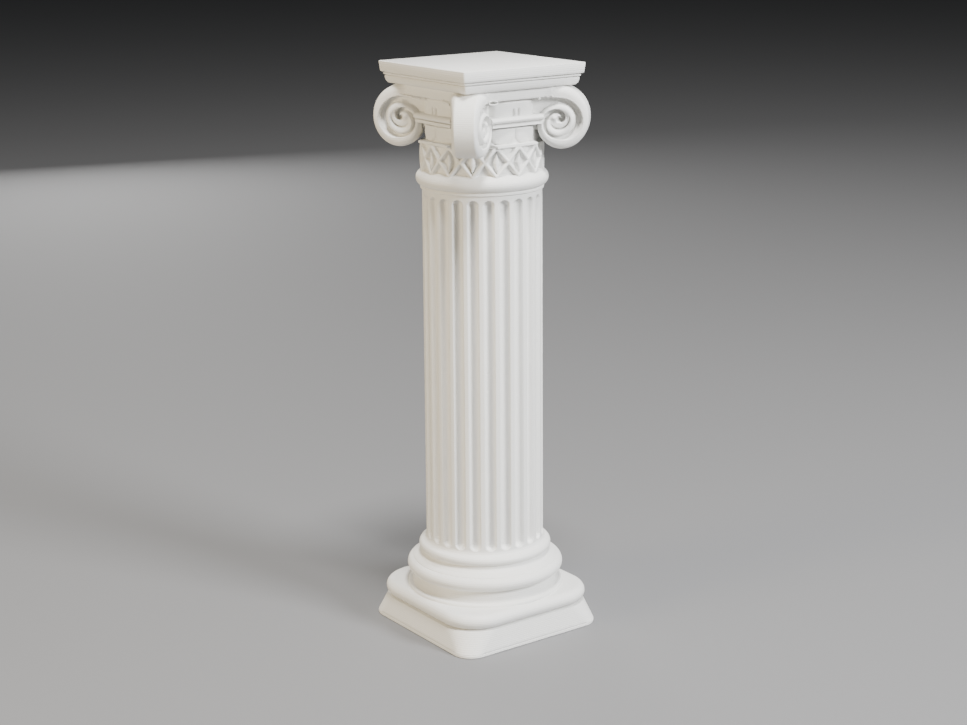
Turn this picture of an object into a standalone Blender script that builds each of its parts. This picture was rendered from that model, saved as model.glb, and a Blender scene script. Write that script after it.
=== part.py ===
"""Small printed model of an Ionic column: square plinth, moulded base, fluted shaft, lattice necking
and a capital whose four volutes stand on the diagonals of a square abacus. It is one solid.
The origin is the centre of the underside, +Z is up, and the abacus lies along X and Y."""

import math

import bmesh
import bpy
from mathutils import Matrix, Vector

MM = 0.001

# Overall height, and the heights of the base from the floor up
HEIGHT = 120.0 * MM
FOOT_LIP = 0.7 * MM
PLINTH_BLOCK = 4.6 * MM
PLINTH_ROLL = 3.2 * MM
BASE_DISC = 0.7 * MM
CAVETTO = 2.5 * MM
LOWER_TORUS = 2.9 * MM
SCOTIA = 1.9 * MM
UPPER_TORUS = 2.0 * MM
SHAFT_FLARE = 0.9 * MM

# Heights of the capital, from the top down
FASCIA = 2.2 * MM
FASCIA_FILLET = 0.5 * MM
OVOLO = 1.9 * MM
CANALIS = 2.0 * MM
EGG_BAND = 3.3 * MM
BEAD = 1.3 * MM
BEAD_FILLET = 0.8 * MM
LOBE_BAND = 3.4 * MM
LOWER_RING = 0.5 * MM
LATTICE_BAND = 5.7 * MM
NECK_TORUS = 3.2 * MM
NECK_RING = 0.5 * MM

# Plinth, half widths and corner radii
FOOT_HALF = 17.95 * MM
FOOT_CORNER = 4.3 * MM
BLOCK_TOP_HALF = 17.4 * MM
BLOCK_TOP_CORNER = 8.0 * MM
ROLL_HALF = 17.8 * MM
ROLL_CORNER = 8.6 * MM
ROLL_GROOVE = 0.7 * MM

# Turned base, shaft and neck, radii
DISC_RADIUS = 16.6 * MM
DISC_SLOPE = 1.0 * MM
CAVETTO_RADIUS = 14.65 * MM
LOWER_TORUS_RADIUS = 16.65 * MM
SCOTIA_RADIUS = 13.5 * MM
SCOTIA_FOOT_RADIUS = 15.2 * MM
UPPER_TORUS_RADIUS = 14.1 * MM
SHAFT_FOOT_RADIUS = 12.5 * MM
SHAFT_TOP_RADIUS = 12.33 * MM
NECK_TORUS_RADIUS = 13.6 * MM
NECK_RING_RADIUS = 12.7 * MM
DRUM_RADIUS = 12.2 * MM
CORE_RADIUS = 11.4 * MM

# Flutes
FLUTE_COUNT = 24
FLUTE_WIDTH = 2.12 * MM
FLUTE_DEPTH = 0.85 * MM
FLUTE_GAP_TOP = 1.1 * MM
FLUTE_GAP_FOOT = 0.2 * MM

# Lattice on the drum
LATTICE_COUNT = 16
RIB_WIDTH = 0.8 * MM
RIB_RISE = 0.65 * MM
UNDER_RIB_RISE = 0.57 * MM
RIB_INSET = 0.46 * MM
LEAF_WIDTH = 1.5 * MM
LEAF_LENGTH = 3.9 * MM
LEAF_RISE = 0.5 * MM

# Abacus, half widths
ABACUS_HALF = 15.05 * MM
FASCIA_FOOT_HALF = 14.9 * MM
FILLET_HALF = 14.55 * MM
OVOLO_HALF = 14.4 * MM
OVOLO_FOOT_HALF = 13.4 * MM
CANALIS_HALF = 12.75 * MM
ABACUS_CORNER = 0.25 * MM

# Ornament on the four faces between the volutes
EGG_FACE = 11.9 * MM
EGG_HALF_WIDTH = 4.75 * MM
DART_WIDTH = 0.9 * MM
BEAD_FACE = 12.4 * MM
BEAD_HALF_LENGTH = 6.3 * MM
FILLET_FACE = 12.1 * MM
FILLET_HALF_LENGTH = 6.1 * MM
LOBE_FACE = 11.5 * MM
LOBE_SWELL = 0.45 * MM
LOBE_HALF_WIDTH = 4.25 * MM
RING_FACE = 12.35 * MM
RING_HALF_LENGTH = 5.6 * MM

# Volutes: a scroll standing on each diagonal
VOLUTE_REACH = 16.2 * MM
VOLUTE_RADIUS = 6.8 * MM
VOLUTE_HALF_EDGE = 1.9 * MM
VOLUTE_HALF_FACE = 1.9 * MM
VOLUTE_ROUNDING = 1.5 * MM
VOLUTE_SPLAY = 0.185
SCROLL_RISE = 0.5 * MM
SCROLL_BEVEL = 0.35 * MM
# Outer radius and band width of the scroll at each quarter turn from the top, as shares of its radius
SCROLL_RADII = (1.0, 0.85, 0.85, 0.66, 0.47, 0.43, 0.44, 0.35, 0.22)
SCROLL_WIDTHS = (0.33, 0.22, 0.29, 0.22, 0.19, 0.16, 0.15, 0.14, 0.12)

# How far one shape sinks into the next, so that their union is clean
OVERLAP = 0.45 * MM

TURNED_STEPS = 48
DRUM_STEPS = 24
CORE_STEPS = 16
CORNER_STEPS = 4
GROUND_STEPS = 9
SCROLL_STEPS = (3, 3, 3, 3, 2, 2, 1, 1)


# Heights worked out from the bands above
PLINTH_TOP = FOOT_LIP + PLINTH_BLOCK + PLINTH_ROLL
DISC_TOP = PLINTH_TOP + BASE_DISC
CAVETTO_TOP = DISC_TOP + CAVETTO
LOWER_TORUS_TOP = CAVETTO_TOP + LOWER_TORUS
SCOTIA_TOP = LOWER_TORUS_TOP + SCOTIA
UPPER_TORUS_TOP = SCOTIA_TOP + UPPER_TORUS
SHAFT_FOOT = UPPER_TORUS_TOP + SHAFT_FLARE
FASCIA_FOOT = HEIGHT - FASCIA
FILLET_FOOT = FASCIA_FOOT - FASCIA_FILLET
OVOLO_FOOT = FILLET_FOOT - OVOLO
CANALIS_FOOT = OVOLO_FOOT - CANALIS
EGG_FOOT = CANALIS_FOOT - EGG_BAND
BEAD_FOOT = EGG_FOOT - BEAD
BEAD_FILLET_FOOT = BEAD_FOOT - BEAD_FILLET
LOBE_FOOT = BEAD_FILLET_FOOT - LOBE_BAND
DRUM_TOP = LOBE_FOOT - LOWER_RING
DRUM_FOOT = DRUM_TOP - LATTICE_BAND
NECK_TORUS_FOOT = DRUM_FOOT - NECK_TORUS
SHAFT_TOP = NECK_TORUS_FOOT - NECK_RING
SCROLL_CENTRE = OVOLO_FOOT - VOLUTE_RADIUS + 0.1 * MM


def clear_scene():
    for obj in list(bpy.data.objects):
        bpy.data.objects.remove(obj, do_unlink=True)


def new_collection(name):
    collection = bpy.data.collections.new(name)
    bpy.context.scene.collection.children.link(collection)
    return collection


def plastic():
    """Matt white printed plastic."""
    material = bpy.data.materials.new("white_plastic")
    material.use_nodes = True
    shader = material.node_tree.nodes["Principled BSDF"]
    shader.inputs["Base Color"].default_value = (0.83, 0.82, 0.79, 1.0)
    shader.inputs["Roughness"].default_value = 0.55
    shader.inputs["Metallic"].default_value = 0.0
    return material


def mesh_object(name, bm, collection):
    mesh = bpy.data.meshes.new(name)
    bm.to_mesh(mesh)
    bm.free()
    mesh.shade_smooth()
    mesh.set_sharp_from_angle(angle=math.radians(35.0))
    obj = bpy.data.objects.new(name, mesh)
    collection.objects.link(obj)
    return obj


def helper(name, bm, collection):
    """A shape that is joined to the column or cut from it, and isn't part of it by itself."""
    obj = mesh_object(name, bm, collection)
    obj.hide_render = True
    obj.display_type = "WIRE"
    return obj


def cut(target, tool):
    modifier = target.modifiers.new(tool.name, "BOOLEAN")
    modifier.operation = "DIFFERENCE"
    modifier.solver = "EXACT"
    modifier.object = tool


def join(target, collection):
    """One body of the target and all shapes of the collection."""
    modifier = target.modifiers.new(collection.name, "BOOLEAN")
    modifier.operation = "UNION"
    modifier.solver = "EXACT"
    modifier.operand_type = "COLLECTION"
    modifier.collection = collection


def loft(bm, rings):
    """A closed shape through rings of equally many points, capped at both ends, facing out."""
    loops = [[bm.verts.new(point) for point in ring] for ring in rings]
    count = len(loops[0])
    faces = []
    for lower, upper in zip(loops, loops[1:]):
        for i in range(count):
            j = (i + 1) % count
            faces.append(bm.faces.new((lower[i], lower[j], upper[j], upper[i])))
    faces.append(bm.faces.new(loops[0][::-1]))
    faces.append(bm.faces.new(loops[-1]))
    middle = sum((vert.co for loop in loops for vert in loop), Vector()) / (count * len(loops))
    flux = 0.0
    for face in faces:
        face.normal_update()
        flux += face.calc_area() * face.normal.dot(face.calc_center_median() - middle)
    if flux < 0:
        bmesh.ops.reverse_faces(bm, faces=faces)


def repeat_round(bm, start):
    """Turns the shape made so far about Z by start, and adds it three more times at right angles."""
    whole = bm.verts[:] + bm.faces[:]
    for quarter in (1, 2, 3):
        copy = bmesh.ops.duplicate(bm, geom=whole)
        verts = [item for item in copy["geom"] if isinstance(item, bmesh.types.BMVert)]
        turn = Matrix.Rotation(start + math.pi / 2 * quarter, 3, "Z")
        bmesh.ops.rotate(bm, matrix=turn, verts=verts)
    verts = [item for item in whole if isinstance(item, bmesh.types.BMVert)]
    bmesh.ops.rotate(bm, matrix=Matrix.Rotation(start, 3, "Z"), verts=verts)


def rounded_square(half, radius, z, steps):
    """Points of a square with round corners, at height z."""
    points = []
    for corner in range(4):
        middle = math.pi / 4 + corner * math.pi / 2
        reach = (half - radius) * math.sqrt(2)
        for step in range(steps + 1):
            angle = middle - math.pi / 4 + math.pi / 2 * step / steps
            x = reach * math.cos(middle) + radius * math.cos(angle)
            y = reach * math.sin(middle) + radius * math.sin(angle)
            points.append(Vector((x, y, z)))
    return points


def half_round(radius, foot, height, segments, lean=0.0):
    """(radius, z) points down a torus: its widest radius, its foot and its height. The ends are
    left short by lean, in radians, where the torus sinks into a hollow."""
    bulge = height / 2
    points = []
    for i in range(segments + 1):
        angle = math.pi / 2 - lean - (math.pi - 2 * lean) * i / segments
        points.append((radius - bulge + bulge * math.cos(angle), foot + bulge + bulge * math.sin(angle)))
    return points


def turned_profile():
    """(radius, z) points of the turned body, top to bottom, from the neck torus into the plinth."""
    points = [(0.0, DRUM_FOOT - 0.01 * MM)]
    points += half_round(NECK_TORUS_RADIUS, NECK_TORUS_FOOT, NECK_TORUS, 4, 0.1)
    points += [
        (NECK_RING_RADIUS, NECK_TORUS_FOOT),
        (NECK_RING_RADIUS, SHAFT_TOP),
        (SHAFT_TOP_RADIUS, SHAFT_TOP),
        (SHAFT_FOOT_RADIUS, SHAFT_FOOT),
        (SHAFT_FOOT_RADIUS + SHAFT_FLARE / 2, UPPER_TORUS_TOP),
    ]
    points += half_round(UPPER_TORUS_RADIUS, SCOTIA_TOP, UPPER_TORUS, 3, 0.1)
    points += [
        (SCOTIA_RADIUS + 0.2 * (SCOTIA_FOOT_RADIUS - SCOTIA_RADIUS), LOWER_TORUS_TOP + 0.5 * SCOTIA),
        (SCOTIA_FOOT_RADIUS, LOWER_TORUS_TOP + 0.08 * SCOTIA),
    ]
    points += half_round(LOWER_TORUS_RADIUS, CAVETTO_TOP, LOWER_TORUS, 4)
    disc_top_radius = DISC_RADIUS - DISC_SLOPE
    points += [
        (CAVETTO_RADIUS, CAVETTO_TOP - 0.05 * CAVETTO),
        (CAVETTO_RADIUS + 0.2 * (disc_top_radius - CAVETTO_RADIUS), DISC_TOP + 0.45 * CAVETTO),
        (disc_top_radius, DISC_TOP),
        (DISC_RADIUS, PLINTH_TOP + 0.05 * BASE_DISC),
        (DISC_RADIUS, PLINTH_TOP - OVERLAP),
        (0.0, PLINTH_TOP - OVERLAP),
    ]
    return points


def turned_body(collection):
    turn = Matrix.Rotation(math.pi / TURNED_STEPS, 3, "Z")
    bm = bmesh.new()
    points = [bm.verts.new(turn @ Vector((radius, 0.0, z))) for radius, z in turned_profile()]
    for first, second in zip(points, points[1:]):
        bm.edges.new((first, second))
    mesh = bpy.data.meshes.new("ionic_column")
    bm.to_mesh(mesh)
    bm.free()
    body = bpy.data.objects.new("ionic_column", mesh)
    collection.objects.link(body)
    screw = body.modifiers.new("turned", "SCREW")
    screw.axis = "Z"
    screw.steps = TURNED_STEPS
    screw.render_steps = TURNED_STEPS
    screw.use_merge_vertices = True
    screw.merge_threshold = 0.00001
    return body


def capsule(bm, radius, length, segments, rings):
    """A rod with round ends along Z, its middle at the origin. It returns the new points."""
    widest = math.sin(math.pi * (rings // 2) / rings)
    made = bmesh.ops.create_uvsphere(bm, u_segments=segments, v_segments=rings, radius=radius / widest)
    straight = length / 2 - radius
    for vert in made["verts"]:
        vert.co.z = math.copysign(min(abs(vert.co.z), radius) + straight, vert.co.z)
    return made["verts"]


def flutes(collection):
    """Upright grooves with round ends around the shaft."""
    foot = SHAFT_FOOT + FLUTE_GAP_FOOT
    top = SHAFT_TOP - FLUTE_GAP_TOP
    half_chord = FLUTE_WIDTH / 2
    radius = (half_chord**2 + FLUTE_DEPTH**2) / (2 * FLUTE_DEPTH)
    lean = math.atan2(SHAFT_FOOT_RADIUS - SHAFT_TOP_RADIUS, SHAFT_TOP - SHAFT_FOOT)
    reach = (SHAFT_FOOT_RADIUS + SHAFT_TOP_RADIUS) / 2 + radius - FLUTE_DEPTH
    bm = bmesh.new()
    for i in range(FLUTE_COUNT):
        verts = capsule(bm, radius, top - foot, 6, 5)
        place = (
            Matrix.Rotation(2 * math.pi * i / FLUTE_COUNT, 4, "Z")
            @ Matrix.Translation((reach, 0.0, (top + foot) / 2))
            @ Matrix.Rotation(-lean, 4, "Y")
        )
        bmesh.ops.transform(bm, matrix=place, verts=verts)
    return helper("flutes", bm, collection)


def plinth(collection):
    """Battered block with a half-round roll on it, both square with round corners."""
    block_top = FOOT_LIP + PLINTH_BLOCK
    bulge = PLINTH_ROLL / 2
    sections = [
        (FOOT_HALF, FOOT_CORNER, 0.0),
        (FOOT_HALF, FOOT_CORNER, FOOT_LIP),
        (BLOCK_TOP_HALF, BLOCK_TOP_CORNER, block_top - 0.15 * bulge),
        (BLOCK_TOP_HALF - ROLL_GROOVE, BLOCK_TOP_CORNER - ROLL_GROOVE, block_top),
    ]
    roll_steps = 4
    for i in range(roll_steps + 1):
        angle = math.radians(-60 + 150 * i / roll_steps)
        out = bulge * (math.cos(angle) - 1)
        sections.append((ROLL_HALF + out, ROLL_CORNER + out, block_top + bulge + bulge * math.sin(angle)))
    bm = bmesh.new()
    loft(bm, [rounded_square(half, corner, z, CORNER_STEPS) for half, corner, z in sections])
    return helper("plinth", bm, collection)


def abacus(collection):
    """Square slab in steps: fascia, fillet, ovolo and the band that the volutes roll out of."""
    sections = [
        (CANALIS_HALF - OVERLAP, CANALIS_FOOT),
        (CANALIS_HALF, CANALIS_FOOT + 0.2 * CANALIS),
        (CANALIS_HALF, OVOLO_FOOT - 0.15 * CANALIS),
        (CANALIS_HALF - OVERLAP, OVOLO_FOOT),
    ]
    for i in range(4):
        angle = math.pi / 2 * i / 3
        sections.append(
            (
                OVOLO_FOOT_HALF + (OVOLO_HALF - OVOLO_FOOT_HALF) * math.sin(angle),
                FILLET_FOOT - (OVOLO - 0.1 * MM) * math.cos(angle),
            )
        )
    sections += [
        (FILLET_HALF, FILLET_FOOT + 0.05 * MM),
        (FILLET_HALF, FASCIA_FOOT - 0.1 * MM),
        (FASCIA_FOOT_HALF, FASCIA_FOOT),
        (ABACUS_HALF, HEIGHT),
    ]
    bm = bmesh.new()
    loft(bm, [rounded_square(half, ABACUS_CORNER, z, 1) for half, z in sections])
    return helper("abacus", bm, collection)


def upright_cylinder(name, radius, foot, top, steps, collection):
    """A cylinder about the axis, with its edges turned clear of the leaves and crossings."""
    bm = bmesh.new()
    verts = bmesh.ops.create_cone(
        bm, cap_ends=True, segments=steps, radius1=radius, radius2=radius, depth=top - foot
    )["verts"]
    bmesh.ops.rotate(bm, matrix=Matrix.Rotation(math.radians(1.875), 3, "Z"), verts=verts)
    bmesh.ops.translate(bm, vec=(0.0, 0.0, (top + foot) / 2), verts=verts)
    return helper(name, bm, collection)


def rib(bm, start, end, rise):
    """A ridge on the drum between two (angle, z) points."""
    run = Vector(((end[0] - start[0]) * DRUM_RADIUS, end[1] - start[1]))
    side = Vector((-run.y, run.x)).normalized() * (RIB_WIDTH / 2)
    rings = []
    for angle, z in (start, end):
        ring = []
        for out, spread in ((-OVERLAP, -1.7), (rise, 0.0), (-OVERLAP, 1.7)):
            radius = DRUM_RADIUS + out
            turn = angle + side.x * spread / DRUM_RADIUS
            ring.append(Vector((radius * math.cos(turn), radius * math.sin(turn), z + side.y * spread)))
        rings.append(ring)
    loft(bm, rings)


def lattice_ribs(name, hand, rise, collection):
    """Ribs that climb one way round the drum, from the foot of a leaf to the head of the next."""
    pitch = 2 * math.pi / LATTICE_COUNT
    low = DRUM_FOOT + RIB_WIDTH / 2
    high = DRUM_TOP - RIB_WIDTH / 2
    inset = RIB_INSET / DRUM_RADIUS
    bm = bmesh.new()
    for i in range(LATTICE_COUNT):
        rib(bm, (pitch * i + hand * inset, low), (pitch * (i + hand) - hand * inset, high), rise)
    return helper(name, bm, collection)


def lattice_leaves(collection):
    """A pointed upright leaf in each eye of the lattice."""
    middle = (DRUM_TOP + DRUM_FOOT) / 2
    outline = ((0.0, -0.5), (0.5, -0.14), (0.5, 0.14), (0.0, 0.5), (-0.5, 0.14), (-0.5, -0.14))
    bm = bmesh.new()
    for i in range(LATTICE_COUNT):
        turn = Matrix.Rotation(2 * math.pi * i / LATTICE_COUNT, 3, "Z")
        rings = []
        for depth, share in ((-OVERLAP, 1.1), (LEAF_RISE, 0.5)):
            radius = DRUM_RADIUS + depth
            width = LEAF_WIDTH * share
            length = LEAF_LENGTH * share
            rings.append([turn @ Vector((radius, x * width, middle + z * length)) for x, z in outline])
        loft(bm, rings)
    return helper("leaves", bm, collection)


def box(bm, low, high):
    made = bmesh.ops.create_cube(bm, size=1.0)
    for vert in made["verts"]:
        vert.co = Vector(
            high[axis] if vert.co[axis] > 0 else low[axis] for axis in range(3)
        )


def egg_panel(bm):
    """Swelling cushion with round upper corners, cut in two by a narrow upright dart."""
    inner = CORE_RADIUS * 0.8
    corner = 0.3 * EGG_HALF_WIDTH
    top = CANALIS_FOOT + OVERLAP / 2
    foot = EGG_FOOT - OVERLAP

    def outline(share):
        half = EGG_HALF_WIDTH * share
        crown = top - (1 - share) * EGG_BAND
        return (
            (-half, foot), (half, foot), (half, crown - corner - OVERLAP),
            (half - 0.3 * corner, crown - 0.3 * corner - OVERLAP), (half - corner, crown),
            (-half + corner, crown), (-half + 0.3 * corner, crown - 0.3 * corner - OVERLAP),
            (-half, crown - corner - OVERLAP),
        )

    rings = []
    for face, share in ((inner, 1.0), (EGG_FACE - 0.35 * MM, 1.0), (EGG_FACE, 0.86)):
        rings.append([Vector((face, across, z)) for across, z in outline(share)])
    loft(bm, rings)


def dart(bm):
    """Slender raised tongue in the middle of the egg panel."""
    half = DART_WIDTH / 2
    foot = EGG_FOOT - OVERLAP / 2
    crown = EGG_FOOT + 0.55 * EGG_BAND
    outline = ((-half, foot), (half, foot), (half, crown), (0.0, crown + half), (-half, crown))
    rings = []
    for face, share in ((EGG_FACE - OVERLAP, 1.0), (EGG_FACE + 0.25 * MM, 0.6)):
        rings.append([Vector((face, across * share, z)) for across, z in outline])
    loft(bm, rings)


def bead(bm):
    """Round bar below the eggs, from volute to volute."""
    radius = (BEAD + 0.1 * MM) / 2
    verts = capsule(bm, radius, 2 * BEAD_HALF_LENGTH, 6, 3)
    place = Matrix.Translation((BEAD_FACE - radius, 0.0, BEAD_FOOT + BEAD / 2)) @ Matrix.Rotation(
        math.pi / 2, 4, "X"
    )
    bmesh.ops.transform(bm, matrix=place, verts=verts)


def bead_fillet(bm):
    """Flat strip under the bead."""
    box(
        bm,
        (CORE_RADIUS * 0.75, -FILLET_HALF_LENGTH, BEAD_FILLET_FOOT + 0.1 * MM),
        (FILLET_FACE, FILLET_HALF_LENGTH, BEAD_FOOT + 0.05 * MM),
    )


def lobe_panel(bm):
    """Flat ground of the two lobes."""
    box(
        bm,
        (CORE_RADIUS * 0.7, -LOBE_HALF_WIDTH, LOBE_FOOT - 0.2 * MM),
        (LOBE_FACE, LOBE_HALF_WIDTH, BEAD_FILLET_FOOT + OVERLAP),
    )


def lobes(bm):
    """Two upright swellings with round lower ends, side by side."""
    half = 0.49 * LOBE_HALF_WIDTH
    foot = LOBE_FOOT + 0.1 * MM
    top = BEAD_FOOT + 0.8 * BEAD
    for hand in (-1, 1):
        for vert in capsule(bm, half, top - foot, 8, 5):
            vert.co.x = LOBE_FACE + vert.co.x * LOBE_SWELL / half
            vert.co.y += hand * LOBE_HALF_WIDTH / 2
            vert.co.z += (top + foot) / 2


def lower_ring(bm):
    """Thin bar under the lobes, pointed at both ends."""
    inner = CORE_RADIUS * 0.72
    slant = 0.8 * MM
    outline = (
        (inner, -RING_HALF_LENGTH + slant),
        (RING_FACE - slant, -RING_HALF_LENGTH),
        (RING_FACE, -RING_HALF_LENGTH + slant),
        (RING_FACE, RING_HALF_LENGTH - slant),
        (RING_FACE - slant, RING_HALF_LENGTH),
        (inner, RING_HALF_LENGTH - slant),
    )
    rings = []
    for z in (DRUM_TOP - 0.1 * MM, LOBE_FOOT):
        rings.append([Vector((out, across, z)) for out, across in outline])
    loft(bm, rings)


def smooth_share(shares, quarters):
    """A value between those given at each quarter turn, along a smooth curve through them."""
    last = len(shares) - 1
    quarters = min(max(quarters, 0.0), last)
    i = min(int(quarters), last - 1)
    t = quarters - i
    before, start, end, after = (shares[min(max(k, 0), last)] for k in (i - 1, i, i + 1, i + 2))
    slope_start = (end - before) / 2
    slope_end = (after - start) / 2
    return (
        (2 * t**3 - 3 * t**2 + 1) * start
        + (t**3 - 2 * t**2 + t) * slope_start
        + (3 * t**2 - 2 * t**3) * end
        + (t**3 - t**2) * slope_end
    )


def scroll_face(out):
    """Half the thickness of a volute's ground at a distance from the axis along the diagonal."""
    edge = VOLUTE_REACH + SCROLL_RADII[1] * VOLUTE_RADIUS
    return VOLUTE_HALF_FACE + VOLUTE_SPLAY * (edge - out)


def scroll_point(quarters, radius):
    """(out, z) of a point of the scroll, turning outwards and down from its top."""
    angle = quarters * math.pi / 2
    return VOLUTE_REACH + radius * math.sin(angle), SCROLL_CENTRE + radius * math.cos(angle)


def scroll_stations(quarter_count):
    """Places along the scroll, in quarter turns from its top."""
    stations = [0.0]
    for quarter in range(quarter_count):
        steps = SCROLL_STEPS[quarter]
        stations += [quarter + (i + 1) / steps for i in range(steps)]
    return stations


def volute_grounds(collection):
    """The wedge of each volute: the outline of its scroll, thinnest at the outer edge."""
    root = CORE_RADIUS * 0.8

    def outline(inset):
        points = []
        for i in range(GROUND_STEPS + 1):
            quarters = -0.08 + 3.08 * i / GROUND_STEPS
            radius = smooth_share(SCROLL_RADII, quarters) * VOLUTE_RADIUS
            points.append(scroll_point(quarters, radius - inset))
        points.append((root, points[-1][1]))
        points.append((root, OVOLO_FOOT - 0.25 * CANALIS))
        return points

    rings = []
    for hand in (-1, 1):
        face = [Vector((out, hand * scroll_face(out), z)) for out, z in outline(VOLUTE_ROUNDING)]
        edge = [Vector((out, hand * VOLUTE_HALF_EDGE, z)) for out, z in outline(0.0)]
        rings += [face, edge] if hand < 0 else [edge, face]
    bm = bmesh.new()
    loft(bm, rings)
    repeat_round(bm, math.pi / 4)
    return helper("volute_grounds", bm, collection)


def scroll_band(bm, hand):
    """The raised band on one side of a volute, from the abacus round to the eye."""
    stations = [(0.0, VOLUTE_REACH - CORE_RADIUS)]
    stations += [(quarters, 0.0) for quarters in scroll_stations(len(SCROLL_STEPS))]
    rings = []
    for quarters, back in stations:
        radius = smooth_share(SCROLL_RADII, quarters) * VOLUTE_RADIUS
        width = smooth_share(SCROLL_WIDTHS, quarters) * VOLUTE_RADIUS
        bevel = min(SCROLL_BEVEL, 0.3 * width)
        # Over the first turn the band is rounded off down to the edge, and after it to the ground
        inside = min(max(quarters - 3.0, 0.0), 1.0)
        rounding = VOLUTE_ROUNDING * (1 - inside) + bevel * inside
        rounding = min(rounding, width - 2 * bevel)
        section = []
        for reach, rise in (
            (radius - 0.2 * MM, None),
            (radius - rounding, SCROLL_RISE),
            (radius - width + bevel, SCROLL_RISE),
            (radius - width, -OVERLAP),
        ):
            out, z = scroll_point(quarters, reach)
            out -= back
            face = scroll_face(out)
            if rise is None:
                height = (VOLUTE_HALF_EDGE - 0.2 * MM) * (1 - inside) + (face - OVERLAP) * inside
            else:
                height = face + rise
            section.append(Vector((out, hand * height, z)))
        rings.append(section)
    loft(bm, rings)


def volute_scrolls(collection):
    bm = bmesh.new()
    for hand in (-1, 1):
        scroll_band(bm, hand)
    repeat_round(bm, math.pi / 4)
    return helper("volute_scrolls", bm, collection)


def face_ornament(name, make, collection):
    """A shape made on the face that looks along +X, and its copies on the other three."""
    bm = bmesh.new()
    make(bm)
    repeat_round(bm, 0.0)
    return helper(name, bm, collection)


def main():
    clear_scene()
    parts = new_collection("ionic_column")
    cutters = new_collection("cut_away")
    shapes = new_collection("joined_on")
    column = turned_body(parts)
    column.data.materials.append(plastic())
    cut(column, flutes(cutters))
    plinth(shapes)
    upright_cylinder("core", CORE_RADIUS, DRUM_FOOT - OVERLAP, CANALIS_FOOT + OVERLAP, CORE_STEPS, shapes)
    upright_cylinder("drum", DRUM_RADIUS, DRUM_FOOT - 1.2 * OVERLAP, DRUM_TOP, DRUM_STEPS, shapes)
    lattice_ribs("ribs", 1, RIB_RISE, shapes)
    lattice_ribs("under_ribs", -1, UNDER_RIB_RISE, shapes)
    lattice_leaves(shapes)
    volute_grounds(shapes)
    volute_scrolls(shapes)
    abacus(shapes)
    face_ornament("egg_panels", egg_panel, shapes)
    face_ornament("darts", dart, shapes)
    face_ornament("lobe_panels", lobe_panel, shapes)
    face_ornament("lobes", lobes, shapes)
    face_ornament("lower_rings", lower_ring, shapes)
    face_ornament("bead_fillets", bead_fillet, shapes)
    face_ornament("beads", bead, shapes)
    join(column, shapes)


main()
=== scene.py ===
import math

import bpy
import numpy as np
from mathutils import Matrix, Vector


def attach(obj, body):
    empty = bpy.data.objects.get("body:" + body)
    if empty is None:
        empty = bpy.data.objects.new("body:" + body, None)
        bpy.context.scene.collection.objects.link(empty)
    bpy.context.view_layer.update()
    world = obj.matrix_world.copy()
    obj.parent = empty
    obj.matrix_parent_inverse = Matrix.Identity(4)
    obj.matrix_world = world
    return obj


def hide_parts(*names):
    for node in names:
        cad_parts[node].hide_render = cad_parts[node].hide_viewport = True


MM = 0.001
NODE = "ionic_column"
QUARTER = math.pi / 2

# Heights of the mouldings, in millimetres above the table
PLINTH_TOP = 8.5
LOWER_TORUS_FOOT = 11.7
LOWER_TORUS_TOP = 14.6
UPPER_TORUS_FOOT = 16.5
UPPER_TORUS_TOP = 18.5
SHAFT_FOOT = 19.4
SHAFT_TOP = 94.6
NECK_TORUS_FOOT = 95.1
DRUM_FOOT = 98.3
DRUM_TOP = 104.1
RING_TOP = 104.6
LOBE_TOP = 108.0
BEAD_FOOT = 108.8
EGG_FOOT = 110.1
CANALIS_FOOT = 113.4
OVOLO_FOOT = 115.4
TOP = 120.0

# The scroll of a volute: its centre, and its rim at each quarter turn from its top towards outside
SCROLL_REACH = 16.2
SCROLL_HEIGHT = 108.7
SCROLL_RIM = (6.8, 5.82, 5.85, 4.5, 3.1)
CANALIS_EDGE = 4.45
# The groove, at each eighth turn: middle, half width and depth
GROOVE_RADIUS = (3.7, 3.72, 3.65, 3.5, 3.5, 3.3, 2.72, 2.15, 1.6, 0.95, 0.5, 0.25, 0.15)
GROOVE_HALF_WIDTH = (0.7, 0.78, 0.85, 0.6, 0.36, 0.32, 0.42, 0.42, 0.5, 0.56, 0.55, 0.4, 0.3)
GROOVE_DEPTH = (1.4, 1.6, 1.7, 1.5, 1.2, 1.1, 1.1, 1.2, 1.5, 1.7, 1.7, 1.5, 1.0)
# The thin crescent beside it: where it starts and ends in quarter turns, and its distance out
SPLIT_START = 4.7
SPLIT_END = 6.7
SPLIT_RADIUS = (2.1, 1.78, 1.92)
# The middle of the ridge within the groove, at each eighth turn
RIDGE_RADIUS = (2.35, 2.4, 2.35, 2.55, 2.75, 2.75, 2.6)
# A volute's half thickness at its edge and its face, which splays towards the column
HALF_EDGE = 1.9
HALF_FACE = 2.25
SPLAY = 0.185
SPLAY_LIMIT = SCROLL_REACH + 6.4
SHOULDER = 1.4
GROUND_DEPTH = 1.4

# Flutes, and the lattice: how far its parts stand out
FLUTES = 24
LATTICE_BAYS = 16
LATTICE_RADIUS = 12.5
LATTICE_GROUND = 11.78
RIB_RISE = 0.95
CROSSING_RISE = 0.93
LEAF_RISE = 0.75
LEAF_SPINE = 0.15
LATTICE_EDGE_RISE = 0.7

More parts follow.
